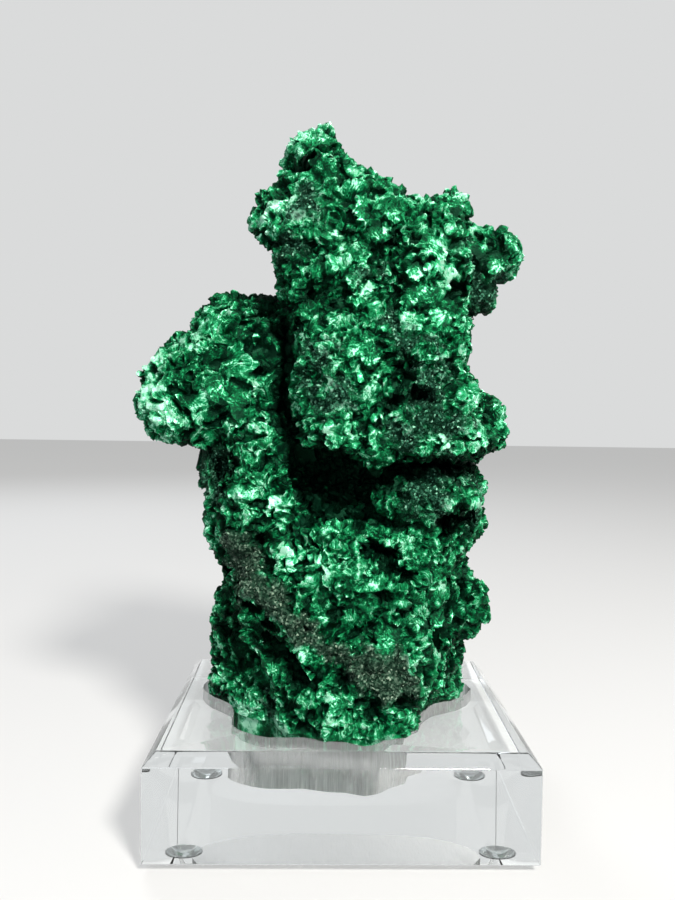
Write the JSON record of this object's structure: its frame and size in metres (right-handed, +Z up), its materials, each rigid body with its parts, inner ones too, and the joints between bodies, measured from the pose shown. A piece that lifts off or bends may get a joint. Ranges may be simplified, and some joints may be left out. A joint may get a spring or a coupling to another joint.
{
  "type": "malachite specimen on clear base",
  "caption": "Silky fibrous malachite rock, upright and craggy with an overhanging lobe, its foot let into a clear acrylic block on small clear feet.",
  "frame": {"origin": "centre of the bounding box at the plane the feet stand on", "axes": "+Z up; -Y is the front face of the base; +X to the right seen from the front"},
  "size_m": [0.1112, 0.08, 0.195],
  "materials": {
    "silky_malachite": "silky fibrous crystal crust",
    "clear_acrylic": "polished, with a machined frosted pocket",
    "clear_bumper": "clear moulded polyurethane"
  },
  "bodies": {
    "root": {"malachite_specimen": "silky_malachite", "acrylic_base": "clear_acrylic", "bumper_foot_front_left": "clear_bumper", "bumper_foot_front_right": "clear_bumper", "bumper_foot_rear_left": "clear_bumper", "bumper_foot_rear_right": "clear_bumper"}
  },
  "joints": []
}
